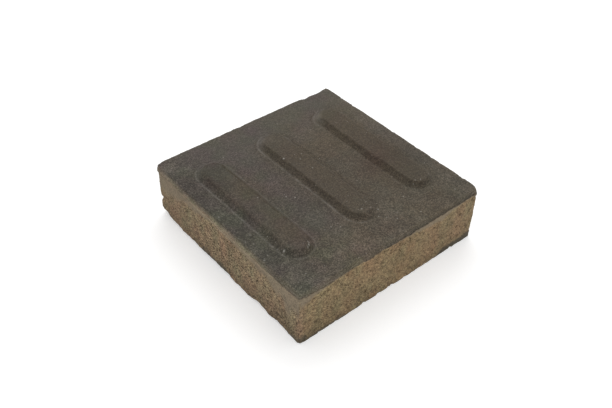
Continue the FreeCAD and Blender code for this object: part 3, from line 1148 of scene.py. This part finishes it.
def backing_finish(colours):
    """Tan backing: rusty and olive patches, open sand and pores darkened by dirt and painted shade, darker
    towards the lower edge, painted shadow along the foot, a smooth strip below the facing.
    """
    finish = Finish("Backing concrete")
    fine = finish.sand(FINE_SAND, DARK_GRAINS)
    coarse = finish.sand(1.7 * MM)
    grit = finish.mask("grit")
    rusty = finish.mask("rusty")
    slurry = finish.mask("slurry")
    bare = calculate(finish.tree, "SUBTRACT", 1.0, finish.scaled(slurry, 0.8))
    pores = finish.scaled(coarse["Gap"], finish.patches(5 * MM, low=0.42, high=0.62), bare)

    plain = finish.blend(rusty, colours.backing_olive, colours.backing_rust)
    yellow = finish.blend(rusty, colours.backing_straw, colours.backing_ochre)
    tint = finish.blend(finish.mask("yellowed"), plain, yellow)
    tint = finish.blend(finish.scaled(slurry, 0.85), tint, colours.backing_slurry)
    tint = finish.brightened(tint, finish.mask("lightness"))
    tint = finish.toned(tint, coarse["Tone"], finish.scaled(grit, 0.14))
    tint = finish.toned(tint, fine["Tone"], finish.scaled(grit, 0.42), DARK_GRAINS)

    grains = finish.scaled(finish.spots(spacing=2.6 * MM, share=0.35, size=0.24), grit, bare, 0.35)
    tint = finish.blend(grains, tint, colours.backing_grain)
    holes = finish.spots(spacing=3.0 * MM, share=0.4, size=0.2)
    holes = finish.scaled(holes, finish.patches(16 * MM, low=0.42, high=0.6), bare, 0.8)
    # Dirt and painted shade in the pits, pores and gaps between grains
    dark = finish.greatest(finish.scaled(pores, 0.45), finish.scaled(finish.mask("pit"), 0.45), holes)
    tint = finish.blend(dark, tint, colours.backing_pore_dirt_and_shade)
    # Darker towards the lower edge
    tint = finish.blend(finish.mask("lower_darkening"), tint, colours.backing_lower_dark)
    # Painted contact shadow along the foot of the sides
    tint = finish.blend(finish.mask("foot_shadow"), tint, colours.backing_foot_shadow)
    edge = ease(finish.tree, finish.mask("below_seam"), 1.8 * MM, 0.0)
    smear = finish.scaled(edge, finish.patches(3 * MM, low=0.42, high=0.56), 0.75)
    tint = finish.blend(smear, tint, colours.facing_brown)

    roughness = spread(finish.tree, coarse["Tone"], 0.86, 0.98)
    height = finish.summed((fine["Height"], 0.16 * MM), (coarse["Height"], 0.22 * MM), (pores, -0.6 * MM))
    return finish.complete(tint, roughness, height)


# Stage

SENSOR_WIDTH = 36
NEAR_CLIP = 0.01
FLOOR_HALF = 4.0
# Level of the floor, just below the bed so that the two surfaces do not coincide
FLOOR_LEVEL = -0.1 * MM
FLOOR_ALBEDO = from_screen(231, 231, 231)
FLOOR_ROUGHNESS = 0.9
# Glow that makes the floor white to the viewer
FLOOR_GLOW = 0.43
KEY_DISTANCE = 1.7
KEY_SIZE = 1.3
KEY_ELEVATION = math.radians(55)


def view_direction(azimuth, elevation):
    """From the slab towards a viewer at an azimuth and an elevation."""
    level = math.cos(elevation)
    return Vector((math.sin(azimuth) * level, -math.cos(azimuth) * level, math.sin(elevation)))


def seen_directly(tree):
    """1 for what the camera sees, straight, reflected or through glass, and 0 for light on the slab."""
    path = add_node(tree, "ShaderNodeLightPath").outputs
    seen = calculate(tree, "MAXIMUM", path["Is Camera Ray"], path["Is Glossy Ray"])
    return calculate(tree, "MAXIMUM", seen, path["Is Transmission Ray"])


def make_camera(studio):
    """The camera at the photograph's viewing angle."""
    data = bpy.data.cameras.new("Camera")
    data.lens = studio.focal_length
    data.sensor_width = SENSOR_WIDTH
    data.sensor_fit = "HORIZONTAL"
    data.clip_start = NEAR_CLIP
    back = view_direction(studio.azimuth, studio.elevation)
    camera = bpy.data.objects.new("Camera", data)
    camera.rotation_mode = "QUATERNION"
    camera.location = Vector(studio.aim) + back * studio.distance
    turn = (-back).to_track_quat("-Z", "Y")
    camera.rotation_quaternion = turn @ Quaternion((0, 0, 1), studio.roll)
    bpy.context.scene.collection.objects.link(camera)
    bpy.context.scene.camera = camera


def make_floor():
    """A pale floor that shows white away from the slab's shadow."""
    mesh = bpy.data.meshes.new("floor")
    corners = [(x * FLOOR_HALF, y * FLOOR_HALF, FLOOR_LEVEL) for x, y in CORNERS]
    mesh.from_pydata(corners, [], [(0, 1, 2, 3)])
    material = bpy.data.materials.new("Pale floor")
    material.use_nodes = True
    tree = material.node_tree
    shader = tree.nodes["Principled BSDF"]
    shader.inputs["Base Color"].default_value = (*FLOOR_ALBEDO, 1)
    shader.inputs["Roughness"].default_value = FLOOR_ROUGHNESS
    shader.inputs["Specular IOR Level"].default_value = 0.0
    shader.inputs["Emission Color"].default_value = (1, 1, 1, 1)
    glow = calculate(tree, "MULTIPLY", seen_directly(tree), FLOOR_GLOW)
    tree.links.new(glow, shader.inputs["Emission Strength"])
    mesh.materials.append(material)
    floor = bpy.data.objects.new("floor", mesh)
    bpy.context.scene.collection.objects.link(floor)


def make_sky(strength):
    """Even white light from all round, in front of a white background."""
    world = bpy.data.worlds.new("Studio")
    bpy.context.scene.world = world
    world.use_nodes = True
    tree = world.node_tree
    background = tree.nodes["Background"]
    background.inputs["Color"].default_value = (1, 1, 1, 1)
    level = spread(tree, seen_directly(tree), strength, 1.0)
    tree.links.new(level, background.inputs["Strength"])


def make_key(studio):
    """A broad soft lamp behind the slab, facing the viewer."""
    data = bpy.data.lights.new("Key", "AREA")
    data.shape = "SQUARE"
    data.size = KEY_SIZE
    data.energy = studio.key_power
    towards = view_direction(studio.azimuth + math.pi, KEY_ELEVATION)
    lamp = bpy.data.objects.new("Key", data)
    lamp.location = towards * KEY_DISTANCE
    lamp.rotation_mode = "QUATERNION"
    lamp.rotation_quaternion = (-towards).to_track_quat("-Z", "Y")
    bpy.context.scene.collection.objects.link(lamp)


# Operators, panel and registration

class SLAB_OT_backing(bpy.types.Operator):
    """Build the tan backing slab with its pores, broken lower edge and finish"""
    bl_idname = "tactile_slab.backing"
    bl_label = "Backing slab"

    def execute(self, context):
        settings = context.scene.tactile_slab
        shape = backing_mesh(settings)
        material = backing_finish(settings.colours)
        make_piece("worn_backing", "backing_slab", shape, material)
        return {"FINISHED"}


class SLAB_OT_facing(bpy.types.Operator):
    """Build the dark facing layer with its guide bars, worn edges and finish"""
    bl_idname = "tactile_slab.facing"
    bl_label = "Facing layer"

    def execute(self, context):
        settings = context.scene.tactile_slab
        shape = facing_mesh(settings)
        material = facing_finish(settings.colours)
        make_piece("worn_facing", "facing_layer", shape, material)
        return {"FINISHED"}


class SLAB_OT_stage(bpy.types.Operator):
    """Set up the floor, the light and the camera"""
    bl_idname = "tactile_slab.stage"
    bl_label = "Studio"

    def execute(self, context):
        studio = context.scene.tactile_slab.studio
        make_floor()
        make_sky(studio.sky)
        make_key(studio)
        make_camera(studio)
        context.scene.view_settings.view_transform = "Standard"
        return {"FINISHED"}


class SLAB_PT_panel(bpy.types.Panel):
    """Settings and builders of the slab"""
    bl_label = "Tactile Paving Slab"
    bl_space_type = "VIEW_3D"
    bl_region_type = "UI"
    bl_category = "Paving"

    def draw(self, context):
        settings = context.scene.tactile_slab
        for group in (settings.bars, settings.wear, settings.colours, settings.studio):
            box = self.layout.box()
            for name in group.__annotations__:
                box.prop(group, name)
        for operator in OPERATORS:
            self.layout.operator(operator.bl_idname)


OPERATORS = [SLAB_OT_backing, SLAB_OT_facing, SLAB_OT_stage]
SETTINGS = [GuideBarSizes, WearSizes, ConcreteColours, StudioSettings, SlabSettings]
CLASSES = [*SETTINGS, *OPERATORS, SLAB_PT_panel]


def register():
    for item in CLASSES:
        bpy.utils.register_class(item)
    bpy.types.Scene.tactile_slab = PointerProperty(type=SlabSettings)


def unregister():
    del bpy.types.Scene.tactile_slab
    for item in reversed(CLASSES):
        bpy.utils.unregister_class(item)


def main():
    register()
    bpy.ops.tactile_slab.backing()
    bpy.ops.tactile_slab.facing()
    bpy.ops.tactile_slab.stage()


if __name__ == "__main__":
    main()
